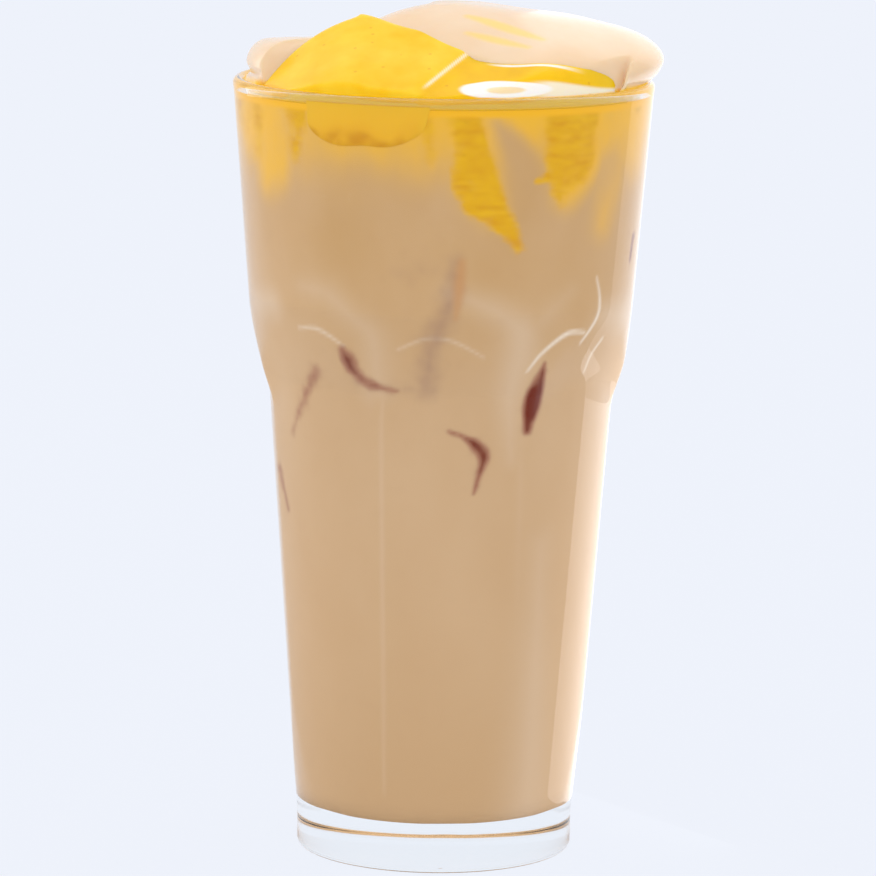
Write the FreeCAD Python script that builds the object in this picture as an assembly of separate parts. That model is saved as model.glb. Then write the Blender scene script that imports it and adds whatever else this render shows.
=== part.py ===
"""Tall glass of milk tea, filled to the rim and topped with egg pudding and a cap of cream.

Millimetres, +Z up. The origin is the centre of the ring that the glass stands on.
The glass is pressed: a round foot, seven shallow panels that end in arches, a flared round
top and a round lip. Its inside is smooth and round. What fills it follows that inside.
"""
import FreeCAD
import Part
import math
import os

Vector = FreeCAD.Vector

# glass, outside
glass_height = 156.0
lip_radius = 42.0            # outside, at the lip
foot_radius = 27.8
foot_height = 8.0            # height of the round band under the panels
foot_corner = 2.0
shoulder_height = 111.0      # where the upper flare starts
shoulder_radius = 38.4

# glass, panels
panel_count = 7
panel_turn = -85.1           # direction of the middle of the first panel, in degrees
panel_slope = 0.0725         # outward run for each millimetre of height
panel_bulge_offset = 9.95    # a panel is part of a cone whose axis stands this far behind the glass axis
panel_ridge_fillet = 5.0
arch_crease_height = 99.0    # where a panel starts to turn outwards, at its middle
arch_lean = 18.5             # lean of the arch face from vertical, in degrees
arch_bow_radius = 120.0

# glass, inside
lip_wall = 2.2
upper_wall = 2.4
lower_wall = 3.2
inner_shoulder_low = 97.0
inner_shoulder_high = 113.0
floor_thickness = 9.5
floor_corner = 4.0

# glass, underside
stand_ring_width = 3.4
recess_depth = 1.8

# tea
tea_gap = 2.0                # free height from the tea to the lip

# pudding on the tea: heights are above the lip, x to the right, y to the back
pudding_centre_height = 18.6   # height of the sloping face carried on to the axis
pudding_rise_right = 0.078
pudding_rise_back = 0.43
pudding_least_height = 0.8
pudding_peak_x = -16.0
pudding_left_drop = 0.027    # how fast the face falls away to the left of the peak
pudding_brow_x = 24.0        # to the right of this the face falls away again
pudding_right_drop = 0.055
pudding_roll_width = 8.0     # of the rolled edge along the glass
pudding_roll_height = 6.5
pudding_fold_x = 1.5         # left of this fold the face lies higher
pudding_fold_lean = 0.7
pudding_fold_step = 1.1
pudding_fold_width = 3.0
pudding_back_left = [(-46, -22), (-30, -15), (-16, -8), (-7, -15), (3, -24.5)]
pudding_back_right = [(14, -29.5), (25, -27.5), (33, -21), (46, -6)]

# pudding piece that rests against the wall under the lip
piece_turn = -114.5          # direction of its middle, in degrees
piece_width = 26.0
piece_height = 17.0
piece_depth = 7.5
piece_drop = 1.6             # from the lip down to the middle of the piece

# cream: a leaning dome over the filled mouth of the glass, and a lower lobe at its left
dome_half_size = (36.5, 37.0, 11.2)    # across, front to back, and up
dome_middle = (8.0, 3.0, 3.8)          # right, back and above the lip
lobe_half_size = (14.0, 29.0, 5.6)
lobe_middle = (-25.0, 4.0, 2.6)
cream_lean_back = 0.4                  # how far both lean back for each millimetre of height

face_steps = 24              # points each way on the sloping face of the pudding
room = 200.0                 # side of the plain blocks that trim the solids, larger than the object


def straight(start, end):
    return Part.LineSegment(start, end).toShape()


def point(radius, height):
    return Vector(radius, 0, height)


def outer_radius(height):
    """Radius of the round outer form, before the panels, at a height over the foot."""
    if height < shoulder_height:
        share = (height - foot_height) / (shoulder_height - foot_height)
        return foot_radius + share * (shoulder_radius - foot_radius)
    share = (height - shoulder_height) / (glass_height - shoulder_height)
    return shoulder_radius + share * (lip_radius - shoulder_radius)


def panel_distance(height):
    """From the axis to the middle of a panel, which starts flush with the foot."""
    return foot_radius + panel_slope * (height - foot_height)


def inner_radius(height):
    """Radius of the smooth inside: two cones joined by a sloping shoulder."""
    low = panel_distance(inner_shoulder_low) - lower_wall
    high = outer_radius(inner_shoulder_high) - upper_wall
    if height < inner_shoulder_low:
        return low - panel_slope * (inner_shoulder_low - height)
    if height < inner_shoulder_high:
        share = (height - inner_shoulder_low) / (inner_shoulder_high - inner_shoulder_low)
        return low + share * (high - low)
    share = (height - inner_shoulder_high) / (glass_height - inner_shoulder_high)
    return high + share * (lip_radius - lip_wall - high)


def spin(edges):
    """Solid of revolution round the axis of the glass."""
    return Part.makeSolid(Part.Face(Part.Wire(edges)).revolve(Vector(0, 0, 0), Vector(0, 0, 1), 360))


def round_body():
    """Solid outer form: stand ring with a shallow recess, foot, cone and rounded lip."""
    ring_outer = foot_radius - foot_corner
    ring_inner = ring_outer - stand_ring_width
    corner_middle = foot_corner * (1 - math.sqrt(0.5))
    lip_round = lip_wall / 2
    lip_start = glass_height - lip_round
    recess_round = (ring_inner ** 2 + recess_depth ** 2) / (2 * recess_depth)
    recess_rise = math.sqrt(recess_round ** 2 - (ring_inner / 2) ** 2) - (recess_round - recess_depth)
    edges = [
        Part.Arc(point(0, recess_depth), point(ring_inner / 2, recess_rise), point(ring_inner, 0)).toShape(),
        straight(point(ring_inner, 0), point(ring_outer, 0)),
        Part.Arc(
            point(ring_outer, 0),
            point(foot_radius - corner_middle, corner_middle),
            point(foot_radius, foot_corner),
        ).toShape(),
        straight(point(foot_radius, foot_corner), point(foot_radius, foot_height)),
        straight(point(foot_radius, foot_height), point(shoulder_radius, shoulder_height)),
        straight(point(shoulder_radius, shoulder_height), point(lip_radius, lip_start)),
        Part.Arc(
            point(lip_radius, lip_start),
            point(lip_radius - lip_round, glass_height),
            point(lip_radius - lip_wall, lip_start),
        ).toShape(),
        straight(point(lip_radius - lip_wall, lip_start), point(0, lip_start)),
        straight(point(0, lip_start), point(0, recess_depth)),
    ]
    return spin(edges)


def inner_body(top):
    """Solid that fills the inside of the glass from its floor up to the height top."""
    floor_radius = inner_radius(floor_thickness + floor_corner)
    corner_middle = floor_corner * (1 - math.sqrt(0.5))
    stations = [point(floor_radius, floor_thickness + floor_corner)]
    for height in (inner_shoulder_low, inner_shoulder_high, top):
        stations.append(point(inner_radius(height), height))
    edges = [
        straight(point(0, floor_thickness), point(floor_radius - floor_corner, floor_thickness)),
        Part.Arc(
            point(floor_radius - floor_corner, floor_thickness),
            point(floor_radius - corner_middle, floor_thickness + corner_middle),
            point(floor_radius, floor_thickness + floor_corner),
        ).toShape(),
    ]
    edges += [straight(a, b) for a, b in zip(stations, stations[1:])]
    edges += [straight(stations[-1], point(0, top)), straight(point(0, top), point(0, floor_thickness))]
    return spin(edges)


def block(bottom, height):
    """A plain block round the axis, from one level up, that keeps or removes a stretch of a solid."""
    return Part.makeBox(room, room, height, Vector(-room / 2, -room / 2, bottom))


def panel_limit():
    """Everything inside one panel and its arch face, for a panel that looks along +X."""
    top = 1.1 * glass_height
    near = panel_distance(foot_height) + panel_bulge_offset
    far = panel_distance(top) + panel_bulge_offset
    panel = Part.makeCone(near, far, top - foot_height, Vector(-panel_bulge_offset, 0, foot_height))
    length = 4 * arch_bow_radius
    arch = Part.makeCylinder(arch_bow_radius, length, Vector(-arch_bow_radius, 0, -length / 2))
    arch.rotate(Vector(0, 0, 0), Vector(0, 1, 0), arch_lean)
    arch.translate(Vector(panel_distance(arch_crease_height), 0, arch_crease_height))
    return panel.fuse(arch.common(block(foot_height, top - foot_height)))


def all_panels():
    """What the panels leave between them, turned copies of one limit, with softened ridges."""
    result = None
    for index in range(panel_count):
        limit = panel_limit()
        limit.rotate(Vector(0, 0, 0), Vector(0, 0, 1), panel_turn + index * 360.0 / panel_count)
        result = limit if result is None else result.common(limit)
    return result.makeFillet(panel_ridge_fillet, [edge for edge in result.Edges if is_ridge(edge)])


def is_ridge(edge):
    """True for the long edge between two panels, which runs up from the foot to the arches."""
    box = edge.BoundBox
    return box.ZMin < foot_height + 1 and box.ZLength > arch_crease_height / 2


def make_glass():
    """Round foot, panelled wall above it, and the smooth inside taken out."""
    body = round_body()
    above_foot = block(foot_height, glass_height)
    wall = body.common(above_foot).common(all_panels())
    solid = body.cut(above_foot).fuse(wall).removeSplitter()
    return solid.cut(inner_body(1.1 * glass_height))


def lip_point(x, y, height):
    """A point whose height is measured from the lip."""
    return Vector(x, y, glass_height + height)


def under_pudding_face(bottom):
    """Solid under the sloping face of the pudding, down to a level measured from the lip."""
    rows = []
    for row in range(face_steps + 1):
        y = lip_radius * (2.0 * row / face_steps - 1)
        line = []
        for column in range(face_steps + 1):
            x = lip_radius * (2.0 * column / face_steps - 1)
            left = max(0.0, pudding_peak_x - x)
            right = max(0.0, x - pudding_brow_x)
            fold = (x - pudding_fold_x - pudding_fold_lean * (y + 30)) / pudding_fold_width
            height = pudding_centre_height + pudding_rise_right * x + pudding_rise_back * y
            height -= pudding_left_drop * left ** 2 + pudding_right_drop * right ** 2
            height -= pudding_fold_step * (1 + math.tanh(fold)) / 2
            line.append(lip_point(x, y, max(height, pudding_least_height)))
        rows.append(line)
    surface = Part.BSplineSurface()
    surface.interpolate(rows)
    face = surface.toShape()
    slab = face.extrude(Vector(0, 0, -glass_height))
    return slab.common(block(glass_height + bottom, glass_height))


def in_front_of_pudding_back():
    """Everything in front of the line where the cream starts."""
    curve = Part.BSplineCurve()
    curve.interpolate([Vector(x, y, 0) for x, y in pudding_back_left + pudding_back_right])
    start, end = curve.value(curve.FirstParameter), curve.value(curve.LastParameter)
    corners = [end, Vector(end.x, -room / 2, 0), Vector(start.x, -room / 2, 0), start]
    edges = [curve.toShape()] + [straight(a, b) for a, b in zip(corners, corners[1:])]
    prism = Part.Face(Part.Wire(edges)).extrude(Vector(0, 0, glass_height))
    prism.translate(lip_point(0, 0, -tea_gap))
    return prism


def rolled_edge(bottom):
    """Round limit of the pudding, whose edge rolls down to the inside of the lip."""
    wall = inner_radius(glass_height)
    roll = pudding_roll_width
    middle = math.sqrt(0.5)
    low = lip_point(inner_radius(glass_height + bottom), 0, bottom)
    side = lip_point(wall, 0, 0)
    shoulder = lip_point(wall - roll * (1 - middle), 0, pudding_roll_height * middle)
    top = lip_point(wall - roll, 0, pudding_roll_height)
    peak = lip_point(0, 0, 2 * pudding_centre_height)
    edges = [
        straight(lip_point(0, 0, bottom), low),
        straight(low, side),
        Part.Arc(side, shoulder, top).toShape(),
        straight(top, peak),
        straight(peak, lip_point(0, 0, bottom)),
    ]
    return spin(edges)


def make_pudding():
    """The pudding fills the front of the mouth, from the tea up to its sloping face."""
    bottom = -tea_gap
    return under_pudding_face(bottom).common(in_front_of_pudding_back()).common(rolled_edge(bottom))


def make_pudding_piece():
    """A flat round piece, half of it lost in the wall, cut off by the wall and by the top of the tea."""
    ball = Part.makeSphere(1.0)
    size = FreeCAD.Matrix()
    size.scale(piece_depth, piece_width / 2, piece_height / 2)
    piece = ball.transformGeometry(size)
    height = glass_height - piece_drop
    piece.translate(Vector(inner_radius(height), 0, height))
    piece.rotate(Vector(0, 0, 0), Vector(0, 0, 1), piece_turn)
    return piece.common(inner_body(glass_height - tea_gap))


def leaning_ball(half_size, middle):
    """A flattened ball that leans back, its middle measured from the lip."""
    size = FreeCAD.Matrix()
    size.A11, size.A22, size.A33 = half_size
    size.A23 = cream_lean_back * half_size[2]
    ball = Part.makeSphere(1.0).transformGeometry(size)
    ball.translate(lip_point(*middle))
    return ball


def make_cream(glass):
    """Dome and lobe over the mouth, cut away for the pudding and seated on the lip."""
    mound = leaning_ball(dome_half_size, dome_middle).fuse(leaning_ball(lobe_half_size, lobe_middle))
    plug = inner_body(glass_height).cut(inner_body(glass_height - tea_gap))
    mound = mound.common(block(glass_height - tea_gap, glass_height))
    return mound.fuse(plug).cut(in_front_of_pudding_back()).cut(glass).removeSplitter()


def save(shape, name):
    solids = shape.Solids
    shape = solids[0] if len(solids) == 1 else shape
    print(name, "solids", len(solids), "valid", shape.isValid(), "cm3", round(shape.Volume / 1000, 2))
    shape.exportStep(os.path.join("parts", name + ".step"))


os.makedirs("parts", exist_ok=True)
glass = make_glass()
piece = make_pudding_piece()
save(glass, "glass")
save(inner_body(glass_height - tea_gap).cut(piece), "milk_tea")
save(piece, "pudding_piece")
save(make_pudding(), "pudding")
save(make_cream(glass), "cream")
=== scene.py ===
import bpy
import numpy as np
from math import cos, pi, radians, sin
from mathutils import Matrix, Vector


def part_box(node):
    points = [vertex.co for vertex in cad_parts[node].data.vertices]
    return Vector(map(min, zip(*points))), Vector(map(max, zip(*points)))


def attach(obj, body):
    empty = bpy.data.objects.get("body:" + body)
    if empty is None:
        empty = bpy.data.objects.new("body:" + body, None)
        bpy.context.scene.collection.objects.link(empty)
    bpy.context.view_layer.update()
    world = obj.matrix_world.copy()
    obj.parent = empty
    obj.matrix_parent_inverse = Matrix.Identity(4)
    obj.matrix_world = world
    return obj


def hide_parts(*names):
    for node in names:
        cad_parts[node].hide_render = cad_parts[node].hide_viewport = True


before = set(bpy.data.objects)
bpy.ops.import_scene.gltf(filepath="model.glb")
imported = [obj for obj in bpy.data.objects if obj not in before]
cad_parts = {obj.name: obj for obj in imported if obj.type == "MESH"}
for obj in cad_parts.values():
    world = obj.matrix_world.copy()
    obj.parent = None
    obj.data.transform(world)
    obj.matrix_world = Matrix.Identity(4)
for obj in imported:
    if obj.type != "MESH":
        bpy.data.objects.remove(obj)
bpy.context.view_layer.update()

# Work in millimetres. Angles called "turn" go round the glass axis from +X; angles called
# "side" start at the front of the glass (-Y), positive to the right.
mm = 0.001
glassLow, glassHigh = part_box("glass")
teaLow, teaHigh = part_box("milk_tea")
lipHeight = glassHigh.z / mm
lipRadius = (glassHigh.y - glassLow.y) / 2 / mm
teaTop = teaHigh.z / mm
floorHeight = teaLow.z / mm
poleGap = 1.0              # the first and the last ring of a surface stay this far from the axis
print("frame loaded, the lip is at", round(lipHeight, 1), "mm")


def paint(red, green, blue):
    # display colour, 0 to 255, to the linear colour that the nodes take: a straight line in the
    # darkest part and a power of 2.4 above it
    c = np.array([red, green, blue]) / 255
    linear = np.where(c <= 0.04045, c / 12.92, ((c + 0.055) / 1.055) ** 2.4)
    return (*linear.tolist(), 1.0)


def smoothMin(a, b, soft):
    # the lower of two heights, rounded over about soft where they cross
    return -soft * np.logaddexp(-a / soft, -b / soft)


def smoothMax(a, b, soft):
    # the higher of two heights, rounded in the same way
    return soft * np.logaddexp(a / soft, b / soft)


def ease(x, low, high):
    # 0 below low, 1 above high, an S curve between
    t = np.clip((x - low) / (high - low), 0, 1)
    return t * t * (3 - 2 * t)


def fade(x, low, high):
    # 1 below low, 0 above high, the same curve falling
    return ease(-x, -high, -low)


def flowing(points, count):
    # Catmull-Rom curve: a cubic through each pair of points, with the slope of its neighbours
    p = np.asarray(points, float)
    t = np.linspace(0, len(p) - 1, count)
    i = np.minimum(t.astype(int), len(p) - 2)
    f = (t - i).reshape((-1,) + (1,) * (p.ndim - 1))
    a, b, c, d = p[np.maximum(i - 1, 0)], p[i], p[i + 1], p[np.minimum(i + 2, len(p) - 1)]
    bend = (2 * a - 5 * b + 4 * c - d) * f ** 2
    return 0.5 * (2 * b + (c - a) * f + bend + (3 * b - a - 3 * c + d) * f ** 3)


def swell(seed, x, y, z, size):
    # soft unevenness between about -1 and 1: a sum of sine waves in random directions, each about
    # size long and starting anywhere, divided by the root of their number
    waves, shortest, longest, calm = 9, 0.7, 1.6, 1.6
    rng = np.random.default_rng(seed)
    total = np.zeros(np.broadcast(x, y, z).shape)
    for _ in range(waves):
        way = rng.normal(size=3)
        way *= 2 * pi / (size * rng.uniform(shortest, longest) * np.linalg.norm(way))
        total += np.sin(way[0] * x + way[1] * y + way[2] * z + rng.uniform(0, 2 * pi))
    return total / waves ** 0.5 / calm


def gridFaces(rows, columns):
    # point numbers of a grid whose columns go round and join up, the same one column further, and
    # the four corners of each face between them
    index = np.arange(rows * columns).reshape(rows, columns)
    after = np.roll(index, -1, axis=1)
    return index, after, np.stack([index[:-1], after[:-1], after[1:], index[1:]], -1).reshape(-1, 4)


def makeSurface(name, points, material, fields=None):
    # A closed skin from a grid of points (rows x columns x 3, in mm). The columns go round and
    # join up; the first and the last row are closed by a pole at their middle.
    rows, columns = points.shape[:2]
    poles = np.stack([points[0].mean(0), points[-1].mean(0)])
    verts = np.concatenate([points.reshape(-1, 3), poles]) * mm
    index, after, quads = gridFaces(rows, columns)
    first, last = rows * columns, rows * columns + 1
    lower = np.stack([np.full(columns, first), after[0], index[0]], -1)
    upper = np.stack([index[-1], after[-1], np.full(columns, last)], -1)
    mesh = bpy.data.meshes.new(name)
    mesh.from_pydata(verts.tolist(), [], quads.tolist() + lower.tolist() + upper.tolist())
    for key, values in (fields or {}).items():
        ends = [values[0].mean(), values[-1].mean()]
        layer = mesh.attributes.new(key, "FLOAT", "POINT")
        layer.data.foreach_set("value", np.concatenate([values.ravel(), ends]).astype(np.float32))
    mesh.update()
    mesh.polygons.foreach_set("use_smooth", [True] * len(mesh.polygons))
    mesh.materials.append(material)
    piece = bpy.data.objects.new(name, mesh)
    bpy.context.scene.collection.objects.link(piece)
    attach(piece, "root")
    print("made", name, "with", len(mesh.polygons), "faces")
    return piece


def addNode(tree, kind, inputs=None, **settings):
    # a node with its settings; each input is linked to a socket or given a value
    node = tree.nodes.new(kind)
    for key, value in settings.items():
        setattr(node, key, value)
    for key, value in (inputs or {}).items():
        if isinstance(value, bpy.types.NodeSocket):
            tree.links.new(value, node.inputs[key])
        else:
            node.inputs[key].default_value = value
    return node


def mixColor(tree, factor, first, second):
    # the first colour where the factor is 0, the second where it is 1
    return addNode(tree, "ShaderNodeMix", {0: factor, 6: first, 7: second}, data_type="RGBA").outputs[2]


def mixShader(tree, factor, first, second):
    # the same for two shaders
    return addNode(tree, "ShaderNodeMixShader", {0: factor, 1: first.outputs[0], 2: second.outputs[0]})


def spread(tree, value, low, high, outLow=0.0, outHigh=1.0):
    # outLow where the value is low, outHigh where it is high, an S curve between
    inputs = {0: value, 1: low, 2: high, 3: outLow, 4: outHigh}
    return addNode(tree, "ShaderNodeMapRange", inputs, interpolation_type="SMOOTHSTEP").outputs[0]


def calc(tree, operation, first, second):
    # one step of arithmetic
    return addNode(tree, "ShaderNodeMath", {0: first, 1: second}, operation=operation).outputs[0]


def field(tree, name):
    # a value that makeSurface stored on the points of the piece
    return addNode(tree, "ShaderNodeAttribute", attribute_name=name).outputs["Fac"]


def heightOf(tree):
    # height above the floor, in metres
    place = tree.nodes.new("ShaderNodeTexCoord").outputs["Object"]
    return addNode(tree, "ShaderNodeSeparateXYZ", {0: place}).outputs[2]


def roughen(tree, shader, pattern, strength, depth):
    # tilt the surface by the slope of a pattern that is depth mm deep
    bump = addNode(tree, "ShaderNodeBump", {"Height": pattern, "Strength": strength, "Distance": depth * mm})
    tree.links.new(bump.outputs[0], shader.inputs["Normal"])


def startMaterial(name, **sockets):
    # a material whose Principled shader has these sockets set
    material = bpy.data.materials.new(name)
    material.use_nodes = True
    shader = material.node_tree.nodes["Principled BSDF"]
    for key, value in sockets.items():
        shader.inputs[key.replace("_", " ")].default_value = value
    return material, material.node_tree, shader


def startGroup(name, inputs, outputs):
    # an empty node group with named number sockets, and the place that its pattern reads
    group = bpy.data.node_groups.new(name, "ShaderNodeTree")
    for key, value in inputs.items():
        socket = group.interface.new_socket(key, in_out="INPUT", socket_type="NodeSocketFloat")
        socket.default_value = value
    for key in outputs:
        group.interface.new_socket(key, in_out="OUTPUT", socket_type="NodeSocketFloat")
    entry = group.nodes.new("NodeGroupInput")
    leave = group.nodes.new("NodeGroupOutput")
    place = group.nodes.new("ShaderNodeTexCoord").outputs["Object"]
    return group, entry.outputs, leave.inputs, place


def useGroup(tree, group, **values):
    # the group placed in a material with its own values
    node = tree.nodes.new("ShaderNodeGroup")
    node.node_tree = group
    for key, value in values.items():
        node.inputs[key].default_value = value
    return node.outputs


def makeMottle():
    # cloudy unevenness: noise of Size mm, its usual range from 0.3 to 0.7 spread over Low to High
    inputs = {"Size": 10.0, "Flatten": 1.0, "Low": 0.0, "High": 1.0}
    group, entry, leave, place = startGroup("cloudyMottle", inputs, ["Value"])
    squash = addNode(group, "ShaderNodeCombineXYZ", {0: 1.0, 1: 1.0, 2: entry["Flatten"]}).outputs[0]
    stretched = addNode(group, "ShaderNodeVectorMath", {0: place, 1: squash}, operation="MULTIPLY").outputs[0]
    scale = calc(group, "DIVIDE", 1 / mm, entry["Size"])
    noise = addNode(group, "ShaderNodeTexNoise", {"Vector": stretched, "Scale": scale, "Detail": 3.0})
    ends = {0: noise.outputs[0], 1: 0.3, 2: 0.7, 3: entry["Low"], 4: entry["High"]}
    group.links.new(addNode(group, "ShaderNodeMapRange", ends).outputs[0], leave["Value"])
    return group


def makeSpecks():
    # round dots of Dot mm radius with a soft edge, Apart mm from each other, of which a share stays
    inputs = {"Apart": 2.0, "Dot": 0.3, "Share": 0.5}
    group, entry, leave, place = startGroup("tinySpecks", inputs, ["Mask"])
    scale = calc(group, "DIVIDE", 1 / mm, entry["Apart"])
    cells = addNode(group, "ShaderNodeTexVoronoi", {"Vector": place, "Scale": scale})
    reach = calc(group, "DIVIDE", entry["Dot"], entry["Apart"])
    edge = calc(group, "DIVIDE", cells.outputs["Distance"], reach)
    dot = spread(group, edge, 0.6, 1.2, 1.0, 0.0)
    chance = addNode(group, "ShaderNodeSeparateColor", {0: cells.outputs["Color"]}).outputs[0]
    kept = calc(group, "LESS_THAN", chance, entry["Share"])
    group.links.new(calc(group, "MULTIPLY", dot, kept), leave["Mask"])
    return group


mottle = makeMottle()
specks = makeSpecks()


def clouds(tree, size, flatten=1.0, low=0.0, high=1.0):
    # the cloudy pattern, size in mm, flattened upwards, between low and high
    return useGroup(tree, mottle, Size=size, Flatten=flatten, Low=low, High=high)["Value"]


print("node groups ready")

# The glass: panels low down, arches over them, and a smooth flared top.
glassShape = {
    "footRadius": 27.8, "footHeight": 8.0, "footCorner": 1.2,
    "shoulderHeight": 111.0, "shoulderRadius": 38.4,
    "panels": 7, "panelTurn": -85.1,     # direction of the middle of the front panel
    "panelSlope": 0.0725, "panelBow": 9.95,
    "creaseHeight": 99.0, "archLean": 18.5, "archBow": 120.0,
    "lipWall": 2.2, "upperWall": 2.4, "lowerWall": 3.2,
    "innerLow": 97.0, "innerHigh": 113.0, "floorCorner": 4.0,
    "standRing": 3.2, "recess": 0.5,
    "ridgeSoft": 0.07, "footSoft": 0.02, "flareSoft": 0.12, "archSoft": 0.26, "creaseSoft": 0.25,
    "softRise": (30, 90),                # heights between which footSoft turns into archSoft
    "startBelow": 3, "startAbove": 5,    # the panels fade in over these heights round the foot's top
    "columnsEach": 48,                   # grid columns in one panel
}
glassLook = {
    "tint": paint(250, 252, 252), "ior": 1.5,
    "reflection": (0.6, 0.6, 0.6, 1.0),  # what share of the light it mirrors
    "lampTint": (0.96, 0.97, 0.97, 1.0), # what share of the lamps' light passes through
    "waveSize": 9.0, "waveFlatten": 0.35, "waveStrength": 0.35, "waviness": 0.02,
}


def bodyRadius(z):
    # the round form before the panels: a cone up to the shoulder and a steeper-walled flare above it
    g = glassShape
    low = (g["shoulderRadius"] - g["footRadius"]) / (g["shoulderHeight"] - g["footHeight"])
    high = (lipRadius - g["shoulderRadius"]) / (lipHeight - g["shoulderHeight"])
    cone = g["footRadius"] + smoothMax(low * (z - g["footHeight"]), 0 * z, g["flareSoft"])
    return np.minimum(cone, g["shoulderRadius"] + high * (z - g["shoulderHeight"]))


def panelDistance(z):
    # from the axis to the middle of a panel, which starts flush with the foot
    g = glassShape
    return g["footRadius"] + smoothMax(g["panelSlope"] * (z - g["footHeight"]), 0 * z, g["flareSoft"])


def panelLimit(angle, z):
    # radius to one panel at an angle from its middle: a cone whose axis stands panelBow behind the
    # glass axis, and above the crease a leaning cylinder of radius archBow that makes the arch
    g = glassShape
    bow = g["panelBow"]
    cone = np.sqrt((panelDistance(z) + bow) ** 2 - (bow * np.sin(angle)) ** 2) - bow * np.cos(angle)
    crease = g["creaseHeight"]
    out = panelDistance(np.float64(crease)) + (z - crease) * np.tan(radians(g["archLean"]))
    sag = np.sin(angle) ** 2 * cos(radians(g["archLean"])) / (2 * g["archBow"])
    arch = 2 * out / (np.cos(angle) + np.sqrt(np.cos(angle) ** 2 + 4 * sag * np.maximum(out, 0)))
    return smoothMax(cone, arch, g["creaseSoft"])


def wallRadius(turn, z):
    # outer wall: the lowest of the nearest panel, the next panel and the round body, softly joined
    g = glassShape
    pitch = 2 * pi / g["panels"]
    angle = np.abs((turn - radians(g["panelTurn"]) + pitch / 2) % pitch - pitch / 2)
    panels = smoothMin(panelLimit(angle, z), panelLimit(pitch - angle, z), g["ridgeSoft"])
    soft = g["footSoft"] + (g["archSoft"] - g["footSoft"]) * ease(z, *g["softRise"])
    panelled = smoothMin(panels, bodyRadius(z), soft)
    share = ease(z, g["footHeight"] - g["startBelow"], g["footHeight"] + g["startAbove"])
    return bodyRadius(z) + share * (panelled - bodyRadius(z))


def innerRadius(z):
    # the smooth inside: two cones joined by a sloping shoulder
    g = glassShape
    low = panelDistance(np.float64(g["innerLow"])) - g["lowerWall"]
    high = bodyRadius(g["innerHigh"]) - g["upperWall"]
    heights = [0, g["innerLow"], g["innerHigh"], lipHeight]
    return np.interp(z, heights, [low - g["panelSlope"] * g["innerLow"], low, high, lipRadius - g["lipWall"]])


def roundCorner(middleRadius, middleHeight, size, start, end, count):
    # an arc in the profile plane, as radius and height
    a = np.radians(np.linspace(start, end, count))
    return middleRadius + size * np.cos(a), middleHeight + size * np.sin(a)


def glassPoints():
    # one profile from under the middle of the foot, up the wall, over the lip and down the inside;
    # only the outer wall changes with the direction
    g = glassShape
    columns = g["panels"] * g["columnsEach"]
    turn = radians(g["panelTurn"]) + 2 * pi * np.arange(columns) / columns
    foot, corner, lipRound = g["footCorner"], g["floorCorner"], g["lipWall"] / 2
    ringOut = g["footRadius"] - foot
    ringIn = ringOut - g["standRing"]
    cornerTop = floorHeight + corner
    floorOut = innerRadius(cornerTop)
    # the last number of each line is how many rows it gets: they lie closest at the arches
    plainTop, archStart, flareStart = g["footHeight"] + 4, g["creaseHeight"] - 8, g["shoulderHeight"] + 3
    under = np.linspace(poleGap, ringIn, 9)
    lowR, lowZ = roundCorner(ringOut, foot, foot, -90, 0, 8)
    wallZ = np.concatenate([
        np.linspace(foot, plainTop, 12)[1:],
        np.linspace(plainTop, archStart, 40)[1:],
        np.linspace(archStart, flareStart, 68)[1:],
        np.linspace(flareStart, lipHeight - lipRound, 22)[1:-1],
    ])
    lipR, lipZ = roundCorner(lipRadius - lipRound, lipHeight - lipRound, lipRound, 0, 180, 15)
    inZ = np.concatenate([
        np.linspace(lipHeight - lipRound, g["innerHigh"], 10)[1:],
        np.linspace(g["innerHigh"], g["innerLow"], 12)[1:],
        np.linspace(g["innerLow"], cornerTop, 16)[1:],
    ])
    endR, endZ = roundCorner(floorOut - corner, cornerTop, corner, 0, -90, 8)
    floorR = np.linspace(floorOut - corner, poleGap, 7)[1:]
    dome = g["recess"] * (1 - (under / ringIn) ** 2)
    before = np.concatenate([under, lowR])
    later = np.concatenate([lipR, innerRadius(inZ), endR[1:], floorR])
    allZ = np.concatenate([dome, lowZ, wallZ, lipZ, inZ, endZ[1:], np.full(len(floorR), floorHeight)])
    wall = wallRadius(turn[None, :], wallZ[:, None])
    spun = np.ones(columns)
    allR = np.concatenate([before[:, None] * spun, wall, later[:, None] * spun])
    return np.stack([allR * np.cos(turn), allR * np.sin(turn), allZ[:, None] * spun], -1)


def makeGlassMaterial():
    # clear glass, a little wavy, that lamps and daylight pass through to what is behind it
    look = glassLook
    material, tree, shader = startMaterial(
        "clearPressedGlass", Base_Color=look["tint"], Roughness=0.0, IOR=look["ior"],
        Transmission_Weight=1.0, Specular_Tint=look["reflection"],
    )
    wave = clouds(tree, look["waveSize"], look["waveFlatten"])
    roughen(tree, shader, wave, look["waveStrength"], look["waviness"])
    clear = addNode(tree, "ShaderNodeBsdfTransparent", {"Color": look["lampTint"]})
    path = tree.nodes.new("ShaderNodeLightPath")
    inner = mixShader(tree, path.outputs["Is Diffuse Ray"], shader, clear)
    mix = mixShader(tree, path.outputs["Is Shadow Ray"], inner, clear)
    tree.links.new(mix.outputs[0], tree.nodes["Material Output"].inputs["Surface"])
    return material


glassPiece = makeSurface("pressedGlass", glassPoints(), makeGlassMaterial())
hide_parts("glass")

# The milk tea, with what shows through the wall: sauce, ice and froth.
teaShape = {
    "intoWall": 0.07,          # the tea reaches this far into the wall, so that no air shows
    "surfaceDrop": 0.05,       # its surface lies this far under the solid's
    "frontHalf": 100.0,        # half width of the fine part of the grid, in degrees
    "frontColumns": 300, "backColumns": 50,
    "fineFrom": 62.0, "fineTo": 127.0,   # heights between which most of the ice shows
}
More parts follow.
